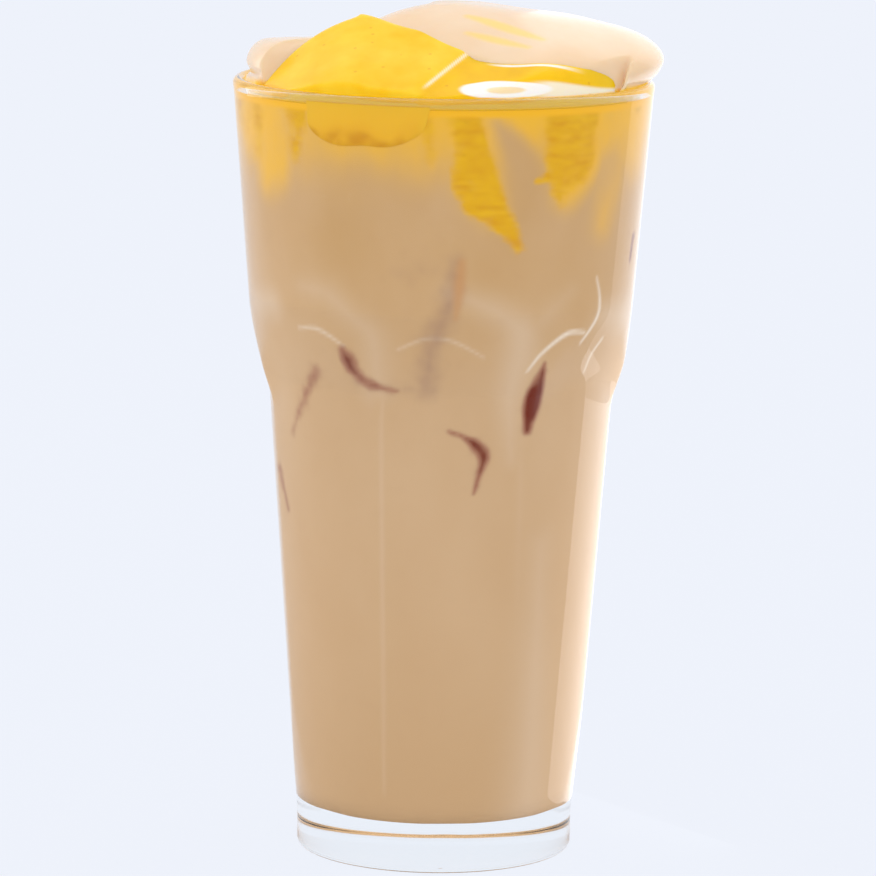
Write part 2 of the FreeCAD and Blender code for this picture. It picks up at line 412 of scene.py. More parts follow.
# yellow at the top: a thin band of sauce and a wide warm tint, in mm under the tea's level
teaRim = {
    "band": (1.6, 0.2), "bandStrength": 0.85, "bandWave": 0.5,
    "tint": (23.0, 1.0), "tintStrength": 0.85, "tintChange": 0.1, "tintWave": 1.5,
}
# Each streak is a line of (side in degrees, height, half width in mm), with the softness of its
# edge and its strength.
sauceStreaks = [
    ([(-90, 157, 9), (-74, 152, 7), (-66, 147, 4.5), (-72, 140, 2.0)], 3.5, 0.55),
    ([(-45.0, 157, 3.9), (-45.6, 150, 3.2), (-46, 143.4, 1.2)], 2.2, 0.85),
    ([(5.0, 157, 2.6), (6.6, 150, 3.2), (8.4, 145, 3.8), (10.4, 138, 4.2),
      (16.6, 132.6, 2.8), (21.2, 129, 1.4), (23.0, 126.8, 1.2)], 1.7, 1.0),
    ([(38.5, 157, 6.6), (38.8, 147.4, 6.2), (38.6, 142.0, 4.4),
      (35.6, 138.2, 2.4), (36.0, 134.8, 1.2)], 2.2, 0.9),
    ([(27.6, 139.7, 0.5), (31.0, 140.3, 1.1)], 0.9, 0.6),
    ([(-30.5, 147.2, 0.8), (-33, 149.5, 1.0)], 1.5, 0.5),
    ([(-5.0, 151, 1.6), (-3.0, 146.6, 1.2), (-4.0, 143.6, 0.6)], 1.6, 0.55),
    ([(66, 157, 3.2), (69, 152.8, 1.8)], 1.4, 0.8),
]
# a warm tint of sauce mixed into the tea, without an edge
tintStreaks = [
    ([(-44, 156, 4.5), (-20, 157, 6.0), (-3, 156, 4.5)], 4.0, 1.0),
    ([(-66, 154, 13), (-58, 146, 9), (-60, 138, 4)], 5.0, 0.75),
    ([(-3, 155, 4.5), (-1, 149, 3.5), (-3, 143, 2)], 3.5, 0.75),
    ([(6, 152, 5), (9, 142, 6), (15, 134, 3)], 4.5, 0.6),
    ([(40, 156, 9), (41, 146, 8), (38, 137, 3)], 4.5, 0.85),
    ([(57, 155, 7), (58, 143, 6), (54, 130, 3)], 5.0, 0.5),
]
# ice that touches the wall, seen end on
iceSlivers = [
    ([(-32.4, 105.9, 0.4), (-30.9, 103.9, 1.3), (-28.2, 101.7, 0.9),
      (-22.5, 99.2, 0.5), (-15.1, 98.2, 0.05)], 1.5, 0.82),
    ([(-46.6, 100.6, 1.0), (-54.0, 95.2, 0.9), (-63.5, 87.0, 0.2)], 2.2, 0.52),
    ([(35.8, 103.4, 0.05), (34.8, 99.8, 0.8), (34.0, 96.0, 1.3),
      (33.2, 92.5, 1.1), (32.8, 89.6, 0.5)], 1.1, 1.0),
    ([(3.5, 90.0, 0.05), (9.0, 88.8, 0.3), (13.6, 87.0, 1.0),
      (16.4, 84.8, 1.0), (15.2, 81.6, 0.4), (13.2, 77.5, 0.05)], 1.1, 0.9),
    ([(-77.5, 78.2, 0.9), (-71.5, 70.6, 0.5)], 1.4, 0.5),
    ([(76.0, 126.0, 1.0), (75.0, 121.6, 0.7)], 0.8, 0.72),
]
iceHalo = {"soft": 3.0, "share": 0.5}    # a soft grey shade round each sliver
# the grey shade of larger ice faces a little further in, and a warm light on one of them
iceShades = [
    ([(4.4, 124.0, 1.2), (2.4, 115.0, 2.0), (-2.5, 108.0, 2.2), (-4.6, 98.5, 1.8)], 3.6, 0.62),
    ([(-4.6, 99.0, 1.4), (-18.0, 98.6, 1.0), (-30.0, 100.0, 0.8)], 3.4, 0.45),
    ([(-12.0, 122.0, 2.0), (3.0, 123.5, 1.5)], 4.0, 0.25),
]
iceGlow = [([(6.0, 124.0, 0.9), (5.4, 118.5, 1.2), (4.6, 113.0, 0.3)], 1.6, 0.9)]
# bare tea between the streaks, and painted highlights and reflections of the glass: pale lines on its ridges
# and arches, its shoulders and a broad band at the right
bareStreaks = [([(15, 151, 0.8), (19, 147.5, 2.4), (24, 142, 3.2), (26.5, 136, 1.6)], 2.2, 0.8)]
paintedSheenStreaks = [
    ([(-46, 117.5, 1.5), (-36, 116.5, 2.5), (-28, 112.5, 2.2),
      (-21.5, 108.5, 2.8), (-21.5, 98, 1.8)], 5.0, 0.52),
    ([(3, 118, 1.0), (13, 115.5, 2.5), (21, 112.5, 2.6),
      (26.5, 108, 3.8), (25.5, 96, 2.6), (27, 84, 0.5)], 5.0, 0.62),
    ([(28, 109, 2.5), (35, 113.5, 2.2), (43, 117.5, 1.0)], 5.0, 0.42),
    ([(-62, 113, 3.0), (-74, 112, 3.0)], 4.0, 0.6),
    ([(60, 112, 3.0), (74, 110, 4.0)], 4.0, 0.6),
    ([(42, 66, 1.0), (44, 35, 4.0), (45, 12, 6.0)], 9.0, 0.62),
    ([(-20.8, 100, 0.3), (-21.4, 60, 0.35), (-22.0, 16, 0.2)], 1.0, 0.5),
    ([(30.2, 98, 0.6), (33.0, 55, 0.5), (36.6, 14, 0.3)], 2.2, 0.36),
]
# thin bright lines where light catches the crests of the arches
crestStreaks = [
    ([(-13.5, 106.6, 0.02), (-5.1, 108.9, 0.14), (2.0, 108.9, 0.14),
      (8.0, 107.4, 0.12), (14.5, 105.2, 0.02)], 0.6, 0.36),
    ([(-50, 109.2, 0.1), (-42.4, 109.6, 0.22), (-36.8, 108.4, 0.2), (-31.7, 106.5, 0.05)], 0.6, 0.5),
    ([(30.3, 102.2, 0.05), (33.5, 105.0, 0.2), (39.5, 107.9, 0.3),
      (44.5, 109.2, 0.3), (50.7, 109.0, 0.1)], 0.6, 0.95),
    ([(53.4, 119.5, 0.05), (55.9, 115.4, 0.2), (55.7, 111.4, 0.3), (50.0, 107.0, 0.15)], 0.6, 0.95),
    ([(57.6, 100.5, 0.1), (58.8, 104.0, 0.2), (63.0, 107.0, 0.2)], 0.7, 0.8),
]


def alongLines(lines, side, z):
    # how strongly each point lies in the lines: the distance to each straight stretch, less its
    # half width there, turned into a soft 0 to 1; the strongest line counts
    radius = innerRadius(z)
    across = np.radians(side) * radius
    total = np.zeros(np.broadcast(side, z).shape)
    for points, soft, strength in lines:
        p = flowing(points, 4 * len(points))
        best = np.full(total.shape, -99.0)
        for (sideA, zA, halfA), (sideB, zB, halfB) in zip(p, p[1:]):
            ax = np.radians(sideA) * radius
            stepX = np.radians(sideB - sideA) * radius
            stepZ = zB - zA
            share = ((across - ax) * stepX + (z - zA) * stepZ) / (stepX ** 2 + stepZ ** 2 + 1e-6)
            share = np.clip(share, 0, 1)
            gap = np.hypot(across - ax - share * stepX, z - zA - share * stepZ)
            best = np.maximum(best, halfA + share * (halfB - halfA) - gap)
        total = np.maximum(total, strength * ease(best, -soft, soft))
    return total


def teaPoints():
    # a solid of revolution inside the glass; the grid is fine in front, where the ice and sauce show
    g = glassShape
    half = teaShape["frontHalf"]
    front = np.linspace(-half, half, teaShape["frontColumns"], endpoint=False)
    back = np.linspace(half, 360 - half, teaShape["backColumns"], endpoint=False)
    side = np.concatenate([front, back])
    more = teaShape["intoWall"]
    low = floorHeight + g["floorCorner"]
    top = teaTop - teaShape["surfaceDrop"]
    fineFrom, fineTo = teaShape["fineFrom"], teaShape["fineTo"]
    bottomR, topR = [poleGap, 12.0], [36.0, 20.0, poleGap]
    cornerR, cornerZ = roundCorner(innerRadius(low) - g["floorCorner"], low, g["floorCorner"] + more, -90, 0, 7)
    wallZ = np.concatenate([
        np.linspace(low, fineFrom, 22)[1:],
        np.linspace(fineFrom, fineTo, 116)[1:],
        np.linspace(fineTo, top, 64)[1:],
    ])
    radius = np.concatenate([bottomR, cornerR, innerRadius(wallZ) + more, topR])[:, None]
    height = np.concatenate([[floorHeight - more] * 2, cornerZ, wallZ, [top] * 3])[:, None]
    turn = np.radians(side - 90)
    grid = np.ones((len(radius), len(turn)))
    around = (side + 180) % 360 - 180
    points = np.stack([radius * np.cos(turn), radius * np.sin(turn), height * grid], -1)
    return points, around * grid, height * grid


# A pair of colours is mixed by soft clouds. Sizes are in mm, heights in metres. A share says how
# much of its colour shows at most; raggedness moves the edge of the ice or the sauce.
teaLook = {
    "upper": (paint(203, 159, 105), paint(211, 170, 123)),
    "lower": (paint(207, 167, 123), paint(212, 174, 132)),
    "bottom": paint(205, 165, 120),
    "cloudSize": 20.0, "upperHeight": (0.090, 0.130), "bottomHeight": (0.060, 0.012),
    # pale and crest are painted highlights and reflections of the glass, put on the tea
    "pale": paint(226, 198, 168), "paintedSheenShare": 0.75,
    "crest": paint(250, 234, 214),
    "froth": paint(236, 205, 165), "frothShare": 0.4, "frothHeight": (0.118, 0.135),
    "iceShade": paint(156, 118, 100), "iceShadeShare": 0.8,
    "iceGlow": paint(206, 146, 88), "iceGlowShare": 0.7,
    "iceEdge": paint(158, 96, 74), "iceEdgeShare": 0.75,
    "iceCore": paint(114, 34, 0),
    "grainSize": 2.5, "grainRagged": 0.08,
    "warmTint": paint(249, 187, 34), "warmShare": 0.9, "warmSize": 9.0, "warmChange": 0.25,
    "sauce": (paint(224, 158, 0), paint(236, 180, 4)), "sauceSize": 4.0,
    "fineSize": 2.2, "fineRagged": 0.09, "blotSize": 5.5, "blotRagged": 0.34,
    "sauceDots": paint(170, 106, 0), "sauceDotsShare": 0.5,
    "rim": paint(252, 186, 24), "rimDepth": (2.2, 0.9),      # mm under the tea's level
}


def makeTeaMaterial():
    # the drink itself, then what lies over it: painted highlights and reflections, froth, ice, sauce and the
    # yellow rim
    look = teaLook
    material, tree, shader = startMaterial("milkTea", Roughness=0.4, IOR=1.34, Specular_IOR_Level=0.0)
    height = heightOf(tree)
    cloud = clouds(tree, look["cloudSize"], 0.5)
    upper = mixColor(tree, cloud, *look["upper"])
    lower = mixColor(tree, cloud, *look["lower"])
    tea = mixColor(tree, spread(tree, height, *look["upperHeight"]), lower, upper)
    tea = mixColor(tree, spread(tree, height, *look["bottomHeight"]), tea, look["bottom"])
    # painted highlights and reflections: pale over the ridges, shoulders and right band, crest along the arches
    tea = mixColor(tree, spread(tree, field(tree, "pale"), 0.0, 1.0, 0.0, look["paintedSheenShare"]), tea, look["pale"])
    tea = mixColor(tree, field(tree, "crest"), tea, look["crest"])
    # froth: tiny pale bubbles just under the sauce
    bubble = useGroup(tree, specks, Apart=1.5, Dot=0.16, Share=0.35)["Mask"]
    froth = calc(tree, "MULTIPLY", bubble, spread(tree, height, *look["frothHeight"]))
    tea = mixColor(tree, calc(tree, "MULTIPLY", froth, look["frothShare"]), tea, look["froth"])
    # ice: a grey violet shade, a warm glow, then a red brown core
    grain = clouds(tree, look["grainSize"], 1.0, -look["grainRagged"], look["grainRagged"])
    shade = calc(tree, "ADD", field(tree, "iceShade"), grain)
    tea = mixColor(tree, spread(tree, shade, 0.02, 1.0, 0.0, look["iceShadeShare"]), tea, look["iceShade"])
    glow = spread(tree, field(tree, "iceGlow"), 0.1, 1.0, 0.0, look["iceGlowShare"])
    tea = mixColor(tree, glow, tea, look["iceGlow"])
    core = calc(tree, "ADD", field(tree, "iceCore"), grain)
    tea = mixColor(tree, spread(tree, core, 0.02, 0.55, 0.0, look["iceEdgeShare"]), tea, look["iceEdge"])
    tea = mixColor(tree, spread(tree, core, 0.42, 1.0), tea, look["iceCore"])
    # sauce: a warm tint, then the thin sauce itself with a ragged edge and small dark dots
    tint = field(tree, "tint")
    wide = clouds(tree, look["warmSize"], 0.5, -look["warmChange"], look["warmChange"])
    warm = calc(tree, "ADD", tint, calc(tree, "MULTIPLY", wide, tint))
    tea = mixColor(tree, spread(tree, warm, 0.0, 1.0, 0.0, look["warmShare"]), tea, look["warmTint"])
    sauce = field(tree, "sauce")
    fine = clouds(tree, look["fineSize"], 3.0, -look["fineRagged"], look["fineRagged"])
    blots = clouds(tree, look["blotSize"], 0.8, -look["blotRagged"], look["blotRagged"])
    edge = calc(tree, "MULTIPLY", calc(tree, "ADD", fine, blots), spread(tree, sauce, 0.0, 0.3))
    depth = calc(tree, "ADD", sauce, edge)
    yellow = mixColor(tree, clouds(tree, look["sauceSize"], 3.0), *look["sauce"])
    dots = useGroup(tree, specks, Apart=1.3, Dot=0.2, Share=0.3)["Mask"]
    yellow = mixColor(tree, calc(tree, "MULTIPLY", dots, look["sauceDotsShare"]), yellow, look["sauceDots"])
    tea = mixColor(tree, spread(tree, depth, 0.1, 0.95), tea, yellow)
    rimLow, rimHigh = [(teaTop - deep) * mm for deep in look["rimDepth"]]
    tea = mixColor(tree, spread(tree, height, rimLow, rimHigh), tea, look["rim"])
    tree.links.new(tea, shader.inputs["Base Color"])
    return material


def teaMarks(side, z):
    # where each thing shows: along its lines, and the two yellows that follow the rim
    rim = teaRim
    uneven = swell(4, side / 8, z / 3, 0 * z, 4)
    bandFrom, bandTo = rim["band"]
    tintFrom, tintTo = rim["tint"]
    band = rim["bandStrength"] * ease(z + rim["bandWave"] * uneven, teaTop - bandFrom, teaTop - bandTo)
    tint = ease(z + rim["tintWave"] * uneven, teaTop - tintFrom, teaTop - tintTo)
    tint = tint * (rim["tintStrength"] + rim["tintChange"] * uneven)
    halo = [(line, iceHalo["soft"], iceHalo["share"] * strength) for line, _, strength in iceSlivers]
    return {
        "sauce": np.maximum(alongLines(sauceStreaks, side, z), band),
        "tint": np.maximum(alongLines(tintStreaks, side, z), tint) * (1 - alongLines(bareStreaks, side, z)),
        # pale and crest: painted highlights and reflections of the glass
        "pale": alongLines(paintedSheenStreaks, side, z),
        "crest": alongLines(crestStreaks, side, z),
        "iceCore": alongLines(iceSlivers, side, z),
        "iceShade": np.maximum(alongLines(iceShades, side, z), alongLines(halo, side, z)),
        "iceGlow": alongLines(iceGlow, side, z),
    }


points, side, z = teaPoints()
teaPiece = makeSurface("milkTea", points, makeTeaMaterial(), teaMarks(side, z))
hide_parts("milk_tea")

# The pudding. Heights from here on are above the lip.
puddingShape = {
    "centreHeight": 18.6, "riseRight": 0.078, "riseBack": 0.43,
    "peakX": -16.0, "leftDrop": 0.027, "rightX": 24.0, "rightDrop": 0.052,
    "rollWidth": 8.0, "rollHeight": 6.5, "rollSoft": 0.35,
    "foldX": 1.5, "foldLean": 0.7, "foldAway": 30.0, "foldStep": 1.3, "foldWidth": 1.6,
    "uneven": 0.25, "unevenSize": 16,
    "back": [                            # how far back it reaches, as (x, y)
        (-46, -18), (-30, -11.2), (-18.5, -8.8), (-15.5, -8.0), (-7, -15),
        (3, -24.5), (14, -29.5), (25, -27.5), (33, -21), (46, -6),
    ],
    "backRound": 2.6, "backDrop": 1.6, "backDropSide": (4, 12),
    "wallGap": 0.1, "lowest": -0.4, "bottom": -2.3,
    "sections": 300, "faceRows": 100, "sideRows": 7,
}
puddingWall = innerRadius(lipHeight) - puddingShape["wallGap"]


def puddingBack(x):
    # how far back the pudding reaches: a smooth curve through the points
    curve = flowing(puddingShape["back"], 400)
    return np.interp(x, curve[:, 0], curve[:, 1])


def wallInFront(x):
    # how far the wall stands in front of the axis: a circle
    return np.sqrt(np.maximum(puddingWall ** 2 - x ** 2, 0))


def foldGap(x, y):
    # how far a point lies to the right of the fold, which is a straight line seen from above
    p = puddingShape
    return x - p["foldX"] - p["foldLean"] * (y + p["foldAway"])


def puddingFace(x, y):
    # a sloping plane that falls away at both ends by a square, with a step along the fold
    p = puddingShape
    height = p["centreHeight"] + p["riseRight"] * x + p["riseBack"] * y
    height = height - p["leftDrop"] * np.maximum(p["peakX"] - x, 0) ** 2
    height = height - p["rightDrop"] * np.maximum(x - p["rightX"], 0) ** 2
    height = height - p["foldStep"] * (1 + np.tanh(foldGap(x, y) / p["foldWidth"])) / 2
    return height + p["uneven"] * swell(11, x, y, 0 * x, p["unevenSize"])


def puddingTop(x, y):
    # the face, limited by a quarter ellipse that rolls down to the wall in front, and rounded at its
    # free edge at the back left
    p = puddingShape
    noLimit = 40                         # past the roll only the face counts
    share = np.clip((y + wallInFront(x)) / p["rollWidth"], 0, 1)
    roll = p["rollHeight"] * np.sqrt(1 - (1 - share) ** 2) + noLimit * (share >= 1)
    share = np.clip((puddingBack(x) - y) / p["backRound"], 0, 1)
    drop = p["backDrop"] * (1 - np.sqrt(1 - (1 - share) ** 2)) * ease(-x, *p["backDropSide"])
    return np.maximum(smoothMin(puddingFace(x, y), roll, p["rollSoft"]) - drop, p["lowest"])


def puddingPoints():
    # sections across the pudding, one for each x, closest at its two ends: over the face from back
    # to front, down the wall, back along the bottom and up the back
    p = puddingShape
    reach = np.linspace(-puddingWall, puddingWall, 4000)
    inside = reach[puddingBack(reach) > -wallInFront(reach) + 0.05]
    share = (1 - np.cos(np.linspace(0.04, pi - 0.04, p["sections"]))) / 2
    x = (inside[0] + (inside[-1] - inside[0]) * share)[:, None]
    back = puddingBack(x)
    front = -wallInFront(x)
    s = 1 - (1 - np.linspace(0, 1, p["faceRows"])[None, :]) ** 1.5
    y = back + (front - back) * s
    top = puddingTop(x, y)
    t = np.linspace(0, 1, p["sideRows"])[None, 1:]
    flat = np.ones_like(x * t)
    parts = [
        (y, top),
        (front * flat, top[:, -1:] + (p["bottom"] - top[:, -1:]) * t),
        (front + (back - front) * t, p["bottom"] * flat),
        (back * flat[:, 1:], p["bottom"] + (top[:, :1] - p["bottom"]) * t[:, :-1]),
    ]
    ring = np.concatenate([a for a, _ in parts], axis=1)
    height = np.concatenate([b for _, b in parts], axis=1)
    return np.stack([x * np.ones_like(ring), ring, height + lipHeight], -1)


puddingLook = {
    # right of the fold the yellow is deeper and darker, partly painted shade under the overhang of the cream
    "light": (paint(247, 190, 0), paint(253, 208, 48)),      # left of the fold
    "deep": (paint(236, 180, 0), paint(249, 196, 0)),        # right of the fold
    # pale is the pool and also painted highlights and a painted reflection; ring is the colour of a painted
    # reflection and a painted highlight
    "pale": paint(252, 234, 206), "ring": paint(254, 246, 238),
    "dots": paint(214, 140, 0), "dotsShare": 0.4,
    "lipBand": paint(254, 184, 0), "lipBandHeight": (0.3, -0.4),
    "cloudSize": 7.0, "rippleSize": 5.0, "rippleStrength": 0.4, "rippleDepth": 0.12,
    "scatter": (1.0, 0.7, 0.2),          # how far red, green and blue light spread inside
}
# Pale marks, in mm: a pool that lies against the lip at the right, a painted reflection shaped as a ring in
# front of it, a painted highlight along the fold and another under the edge of the cream. Pairs say where a
# mark comes in or goes.
puddingMarks = {
    "poolStart": (15.0, 21.0), "poolEnd": (34.5, 38.0), "poolDeep": (5.0, 6.0),
    "poolHeight": 3.0, "poolFall": 2.6, "poolFallX": (18, 36), "poolSoft": 0.4,
    "ringX": 12.0, "ringHeight": 1.5, "ringHalfX": 9.0, "ringHalfHeight": 1.55, "ringDeep": (4, 6),
    "ringMiddle": 0.70, "ringWidth": 0.30, "ringInside": 0.62, "ringInsideShare": 0.7,
    "foldHighlight": -0.3, "foldWidth": 0.2, "foldDeep": (1.5, 4.0),
    "edgeGap": 0.75, "edgeWidth": 0.35, "edgeStart": (7.5, 12.0), "edgeEnd": (21.0, 28.0),
    "edgeHeight": (1.5, 2.5), "edgeShare": 0.9,
}


def makePuddingMaterial():
    # cloudy egg yellow, deeper right of the fold with painted shade, then the pale pool, painted highlights and
    # a painted reflection, the dots and the lip's band
    look = puddingLook
    material, tree, shader = startMaterial(
        "eggPudding", Roughness=0.22, IOR=1.38, Specular_IOR_Level=0.2, Subsurface_Weight=0.3,
        Subsurface_Scale=0.003, Subsurface_Radius=look["scatter"], Coat_Weight=0.12, Coat_Roughness=0.05,
    )
    cloud = clouds(tree, look["cloudSize"])
    light = mixColor(tree, cloud, *look["light"])
    deep = mixColor(tree, cloud, *look["deep"])
    # deeper yellow right of the fold, partly painted shade under the cream
    color = mixColor(tree, field(tree, "deep"), light, deep)
    # the pale pool, with painted highlights and the inside of the painted reflection
    color = mixColor(tree, field(tree, "pale"), color, look["pale"])
    # painted reflection: a ring, and the painted highlight under the cream's edge
    color = mixColor(tree, field(tree, "ring"), color, look["ring"])
    dots = useGroup(tree, specks, Apart=3.0, Dot=0.4, Share=0.42)["Mask"]
    color = mixColor(tree, calc(tree, "MULTIPLY", dots, look["dotsShare"]), color, look["dots"])
    bandTop, bandLow = [(lipHeight + up) * mm for up in look["lipBandHeight"]]
    color = mixColor(tree, spread(tree, heightOf(tree), bandTop, bandLow), color, look["lipBand"])
    tree.links.new(color, shader.inputs["Base Color"])
    ripple = clouds(tree, look["rippleSize"])
    roughen(tree, shader, ripple, look["rippleStrength"], look["rippleDepth"])
    return material


def puddingFields(x, y, h):
    # the colour right of the fold, partly painted shade, and the pale marks: the pool, a painted reflection and
    # painted highlights; each is 1 inside its outline and 0 outside
    m = puddingMarks
    fold = foldGap(x, y)
    frontGap = y + wallInFront(x)
    poolTop = m["poolHeight"] - m["poolFall"] * ease(x, *m["poolFallX"])
    pool = ease(poolTop - h, -m["poolSoft"], m["poolSoft"]) * fade(frontGap, *m["poolDeep"])
    pool = pool * ease(x, *m["poolStart"]) * fade(x, *m["poolEnd"])
    # painted reflection: a pale ring with a paler middle
    ringGap = np.hypot((x - m["ringX"]) / m["ringHalfX"], (h - m["ringHeight"]) / m["ringHalfHeight"])
    ringGap = ringGap + 5 * ease(frontGap, *m["ringDeep"])
    ring = ease(m["ringWidth"] - np.abs(ringGap - m["ringMiddle"]), -0.06, 0.08)
    inside = m["ringInsideShare"] * ease(m["ringInside"] - ringGap, -0.1, 0.25)
    # painted highlights along the fold and under the cream's edge
    foldHighlight = ease(m["foldWidth"] - np.abs(fold - m["foldHighlight"]), -0.3, 0.1) * ease(frontGap, *m["foldDeep"])
    creamEdgeHighlight = ease(m["edgeWidth"] - np.abs(puddingBack(x) - y - m["edgeGap"]), -0.2, 0.15)
    creamEdgeHighlight = creamEdgeHighlight * ease(x, *m["edgeStart"]) * fade(x, *m["edgeEnd"]) * ease(h, *m["edgeHeight"])
    return {
        # right of the fold: partly painted shade, less of it under the painted highlight at the cream's edge
        "deep": ease(fold, -0.6, 1.0) * (1 - 0.5 * creamEdgeHighlight),
        # the pool, the inside of the painted reflection and the painted highlight along the fold
        "pale": np.maximum(np.maximum(pool, inside), foldHighlight),
        # the painted reflection's ring and the painted highlight under the cream's edge
        "ring": np.maximum(ring, m["edgeShare"] * creamEdgeHighlight),
    }


points = puddingPoints()
x, y, h = points[..., 0], points[..., 1], points[..., 2] - lipHeight
puddingPiece = makeSurface("eggPudding", points, makePuddingMaterial(), puddingFields(x, y, h))
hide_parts("pudding")

# The lump of pudding that rests against the wall.
lumpShape = {
    "side": -22.8, "height": 154.2, "halfWidth": 12.9, "halfHeight": 8.2,
    "depth": 7.0, "outerDepth": 0.1, "proud": 0.14, "topGap": 0.3,
    "square": 2.5,                                                 # 2 is an ellipse, more is boxier
    "bumps": [(3, 2.2, 0.03), (5, 0.4, 0.02), (9, 0.0, 0.012)],    # times round, start, size
    "columns": 120, "rows": 50,
}
lumpLook = {
    "upper": paint(243, 184, 36), "lower": paint(236, 172, 30), "change": (0.1525, 0.1455),
    "edge": paint(212, 142, 4), "edgeHeight": (0.1495, 0.1465), "edgeSpots": (0.15, 0.95),
    "levelSize": 6.0, "levelChange": 0.0022, "spotSize": 2.4,      # heights and levelChange in metres
    "scatter": (1.0, 0.7, 0.2),
}


def lumpPoints():
    # a flattened ball wrapped on the wall: the outline is a rounded box with soft bumps, the outer
    # face lies on the wall and the inner half bulges into the tea
    p = lumpShape
    circle = np.linspace(0, 2 * pi, p["columns"], endpoint=False)
    tilt = np.linspace(-pi / 2 + 0.05, pi / 2 - 0.05, p["rows"])[:, None]
    square = p["square"]
    shape = (np.abs(np.cos(circle)) ** square + np.abs(np.sin(circle)) ** square) ** (-1 / square)
    uneven = 1 + sum(size * np.sin(times * circle + start) for times, start, size in p["bumps"])
    across = p["halfWidth"] * shape * uneven * np.cos(circle) * np.cos(tilt)
    up = p["halfHeight"] * shape * uneven * np.sin(circle) * np.cos(tilt)
    z = np.minimum(p["height"] + up, teaTop + p["topGap"])
    inward = np.where(tilt > 0, p["depth"], p["outerDepth"]) * np.sin(tilt)
    radius = innerRadius(z) + p["proud"] - inward
    turn = radians(p["side"] - 90) + across / innerRadius(z)
    return np.stack([radius * np.cos(turn), radius * np.sin(turn), z], -1)


def makeLumpMaterial():
    # pudding seen through the wall, with brown spots along its lower edge
    look = lumpLook
    material, tree, shader = startMaterial(
        "puddingInTea", Roughness=0.4, IOR=1.34, Specular_IOR_Level=0.0,
        Subsurface_Weight=0.2, Subsurface_Scale=0.002, Subsurface_Radius=look["scatter"],
    )
    shift = clouds(tree, look["levelSize"], 1.0, -look["levelChange"], look["levelChange"])
    level = calc(tree, "ADD", heightOf(tree), shift)
    color = mixColor(tree, spread(tree, level, *look["change"]), look["upper"], look["lower"])
    spots = clouds(tree, look["spotSize"], 1.0, *look["edgeSpots"])
    edge = calc(tree, "MULTIPLY", spread(tree, level, *look["edgeHeight"]), spots)
    color = mixColor(tree, edge, color, look["edge"])
    tree.links.new(color, shader.inputs["Base Color"])
    return material


lumpPiece = makeSurface("puddingLump", lumpPoints()[::-1], makeLumpMaterial())
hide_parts("pudding_piece")

# The cream: four profiles from the filled mouth up to the top, as (distance from the axis, height
# above the lip).
creamShape = {
    "right": [
        (20, -2.2), (39.8, -2.2), (39.8, -1.0), (40.3, 0.0), (41.4, 0.7), (42.9, 2.0), (43.9, 4.0),
        (43.2, 6.0), (40.6, 8.1), (36.0, 10.1), (29.0, 11.9), (20.0, 13.2), (10.0, 14.3), (3.0, 14.8),
    ],
    "back": [
        (20, -2.2), (39.8, -2.2), (39.8, -1.0), (39.4, 0.0), (39.2, 0.8), (39.9, 2.0), (40.3, 3.6),
        (39.7, 5.4), (37.6, 7.6), (33.5, 9.9), (27.0, 12.0), (18.0, 13.8), (9.0, 14.7), (3.0, 14.9),
    ],
    "left": [
        (20, -2.2), (39.8, -2.2), (39.8, -1.0), (39.3, 0.0), (38.5, 0.9), (38.6, 1.9), (39.0, 3.2),
        (38.6, 4.8), (37.4, 6.4), (35.0, 7.7), (30.0, 8.2), (22.0, 8.8), (11.0, 13.0), (3.0, 14.6),
    ],
    "front": [
        (20, -2.2), (39.6, -2.2), (39.5, -1.0), (38.6, 0.0), (36.5, 0.8), (34.5, 1.8), (32.8, 3.2),
        (31.2, 4.8), (28.6, 6.2), (24.5, 7.8), (19.0, 9.6), (13.0, 11.4), (7.0, 13.2), (2.5, 14.4),
    ],
    "rows": 110, "columns": 220,
    # the left lobe stays low, and lower towards the back, up to where the dome begins
    "lobeHeight": 8.0, "lobeSlope": 0.165, "lobeFront": -12, "lobeLeast": 3.0, "lobeFrom": 2, "lobeSoft": 0.5,
    "lobeEnd": (-24, -3), "lobeRise": 7.5, "domeStart": (-4, 8), "domeRise": 20,
    "unevenOut": 0.5, "unevenUp": 0.35, "unevenStart": (0.3, 3.0),
    # it dips this far under the pudding, from the pudding's back edge on, except at the far right
    "dip": 1.2, "dipStart": (-0.4, 1.2), "dipEnd": (34.0, 36.5),
    "intoWall": 0.06, "mouthTop": -0.9,
}
# slits where the pudding shows through: from and to, as (x, y), and half width
creamSlits = [((4.5, -9.0), (19.0, -19.6), 0.9), ((4.5, -16.8), (16.2, -23.2), 0.7)]
creamLook = {
    "shades": (paint(233, 197, 154), paint(237, 207, 171)), "cloudSize": 14.0,
    "underLip": paint(252, 188, 40), "underLipHeight": (0.1568, 0.1558),       # metres
    "slit": paint(246, 208, 96), "slitShare": 0.8,
    "rippleSize": 11.0, "rippleStrength": 0.4, "rippleDepth": 0.2,
    "scatter": (1.0, 0.7, 0.45),
}


